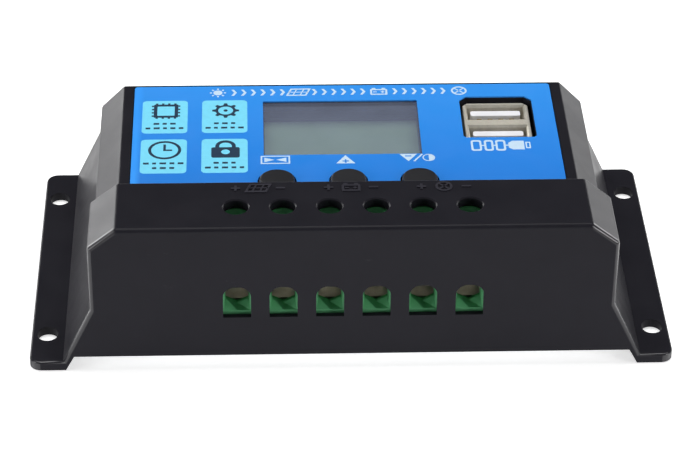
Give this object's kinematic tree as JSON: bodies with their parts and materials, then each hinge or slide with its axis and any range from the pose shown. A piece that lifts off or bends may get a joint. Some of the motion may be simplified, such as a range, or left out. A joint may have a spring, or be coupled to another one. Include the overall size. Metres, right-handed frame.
{
  "type": "charge controller",
  "caption": "Black wall-mounting solar charge controller with side flanges, a blue front panel, a small display, round buttons, an upright charging socket and a ridge of screw wire terminals.",
  "frame": {"origin": "on the mounting surface, under the middle of the case", "axes": "+X to the right of the panel, +Y from the terminal ridge to the back edge, +Z out of the mounting surface"},
  "size_m": [0.1334, 0.07, 0.035],
  "materials": {
    "case_plastic": "satin black, finely textured",
    "button_plastic": "satin black",
    "black_plastic": "matt black",
    "chip_body": "matt black moulding compound",
    "capacitor_sleeve": "black shrink sleeve",
    "blue_label": "printed semi-gloss film",
    "clear_lens": "clear acrylic",
    "display_surface": "grey-green liquid-crystal display",
    "white_plastic": "white moulded",
    "grey_rubber": "silicone",
    "socket_steel": "plated sheet steel",
    "zinc_plate": "zinc-plated steel",
    "tinned_brass": "tinned",
    "copper_winding": "enamelled copper wire, weighed as brass",
    "aluminium_plate": "plain sheet",
    "green_board": "glass-fibre board with green solder mask",
    "green_terminal": "green moulded"
  },
  "bodies": {
    "case": {"front_case": "case_plastic", "back_plate": "aluminium_plate", "case_screw_1": "zinc_plate", "case_screw_2": "zinc_plate", "case_screw_3": "zinc_plate", "case_screw_4": "zinc_plate", "board_screw_1": "zinc_plate", "board_screw_2": "zinc_plate", "circuit_board": "green_board", "front_label": "blue_label", "display_lens": "clear_lens", "display_glass": "display_surface", "display_backlight": "white_plastic", "display_frame": "black_plastic", "display_strip_front": "grey_rubber", "display_strip_back": "grey_rubber", "menu_switch": "black_plastic", "up_switch": "black_plastic", "down_switch": "black_plastic", "charging_socket_shell": "socket_steel", "charging_socket_core": "white_plastic", "terminal_block_solar": "green_terminal", "terminal_block_battery": "green_terminal", "terminal_block_load": "green_terminal", "terminal_contact_1": "tinned_brass", "terminal_contact_2": "tinned_brass", "terminal_contact_3": "tinned_brass", "terminal_contact_4": "tinned_brass", "terminal_contact_5": "tinned_brass", "terminal_contact_6": "tinned_brass", "power_transistor_1": "chip_body", "power_transistor_2": "chip_body", "power_transistor_3": "chip_body", "insulating_pad": "grey_rubber", "storage_capacitor": "capacitor_sleeve", "filter_capacitor": "capacitor_sleeve", "power_inductor": "copper_winding", "control_chip": "chip_body", "voltage_regulator": "chip_body", "bypass_diode": "chip_body"},
    "menu_button": {"menu_button": "button_plastic", "menu_plunger": "black_plastic"},
    "up_button": {"up_button": "button_plastic", "up_plunger": "black_plastic"},
    "down_button": {"down_button": "button_plastic", "down_plunger": "black_plastic"},
    "terminal_screw_1": {"terminal_screw_1": "zinc_plate"},
    "terminal_cage_1": {"terminal_cage_1": "zinc_plate"},
    "terminal_screw_2": {"terminal_screw_2": "zinc_plate"},
    "terminal_cage_2": {"terminal_cage_2": "zinc_plate"},
    "terminal_screw_3": {"terminal_screw_3": "zinc_plate"},
    "terminal_cage_3": {"terminal_cage_3": "zinc_plate"},
    "terminal_screw_4": {"terminal_screw_4": "zinc_plate"},
    "terminal_cage_4": {"terminal_cage_4": "zinc_plate"},
    "terminal_screw_5": {"terminal_screw_5": "zinc_plate"},
    "terminal_cage_5": {"terminal_cage_5": "zinc_plate"},
    "terminal_screw_6": {"terminal_screw_6": "zinc_plate"},
    "terminal_cage_6": {"terminal_cage_6": "zinc_plate"}
  },
  "joints": [
    {"name": "menu_button_press", "type": "slide", "parent": "case", "child": "menu_button", "axis": [0, 0, -1], "range_m": [0, 0.0004], "stiffness_N_per_m": 800, "springref_m": -0.0002},
    {"name": "up_button_press", "type": "slide", "parent": "case", "child": "up_button", "axis": [0, 0, -1], "range_m": [0, 0.0004], "stiffness_N_per_m": 800, "springref_m": -0.0002},
    {"name": "down_button_press", "type": "slide", "parent": "case", "child": "down_button", "axis": [0, 0, -1], "range_m": [0, 0.0004], "stiffness_N_per_m": 800, "springref_m": -0.0002},
    {"name": "terminal_screw_1_turn", "type": "hinge", "parent": "case", "child": "terminal_screw_1", "pos_m": [-0.02375, -0.0271, 0.0304], "axis": [0, 0, -1], "range_deg": [0, 2165]},
    {"name": "terminal_cage_1_rise", "type": "slide", "parent": "case", "child": "terminal_cage_1", "axis": [0, 0, 1], "range_m": [0, 0.0042]},
    {"name": "terminal_screw_2_turn", "type": "hinge", "parent": "case", "child": "terminal_screw_2", "pos_m": [-0.01425, -0.0271, 0.0304], "axis": [0, 0, -1], "range_deg": [0, 2165]},
    {"name": "terminal_cage_2_rise", "type": "slide", "parent": "case", "child": "terminal_cage_2", "axis": [0, 0, 1], "range_m": [0, 0.0042]},
    {"name": "terminal_screw_3_turn", "type": "hinge", "parent": "case", "child": "terminal_screw_3", "pos_m": [-0.00475, -0.0271, 0.0304], "axis": [0, 0, -1], "range_deg": [0, 2165]},
    {"name": "terminal_cage_3_rise", "type": "slide", "parent": "case", "child": "terminal_cage_3", "axis": [0, 0, 1], "range_m": [0, 0.0042]},
    {"name": "terminal_screw_4_turn", "type": "hinge", "parent": "case", "child": "terminal_screw_4", "pos_m": [0.00475, -0.0271, 0.0304], "axis": [0, 0, -1], "range_deg": [0, 2165]},
    {"name": "terminal_cage_4_rise", "type": "slide", "parent": "case", "child": "terminal_cage_4", "axis": [0, 0, 1], "range_m": [0, 0.0042]},
    {"name": "terminal_screw_5_turn", "type": "hinge", "parent": "case", "child": "terminal_screw_5", "pos_m": [0.01425, -0.0271, 0.0304], "axis": [0, 0, -1], "range_deg": [0, 2165]},
    {"name": "terminal_cage_5_rise", "type": "slide", "parent": "case", "child": "terminal_cage_5", "axis": [0, 0, 1], "range_m": [0, 0.0042]},
    {"name": "terminal_screw_6_turn", "type": "hinge", "parent": "case", "child": "terminal_screw_6", "pos_m": [0.02375, -0.0271, 0.0304], "axis": [0, 0, -1], "range_deg": [0, 2165]},
    {"name": "terminal_cage_6_rise", "type": "slide", "parent": "case", "child": "terminal_cage_6", "axis": [0, 0, 1], "range_m": [0, 0.0042]}
  ],
  "couplings": [
    {"joint": "terminal_screw_1_turn", "follows": "terminal_cage_1_rise", "rad_per_m": 8976},
    {"joint": "terminal_screw_2_turn", "follows": "terminal_cage_2_rise", "rad_per_m": 8976},
    {"joint": "terminal_screw_3_turn", "follows": "terminal_cage_3_rise", "rad_per_m": 8976},
    {"joint": "terminal_screw_4_turn", "follows": "terminal_cage_4_rise", "rad_per_m": 8976},
    {"joint": "terminal_screw_5_turn", "follows": "terminal_cage_5_rise", "rad_per_m": 8976},
    {"joint": "terminal_screw_6_turn", "follows": "terminal_cage_6_rise", "rad_per_m": 8976}
  ]
}
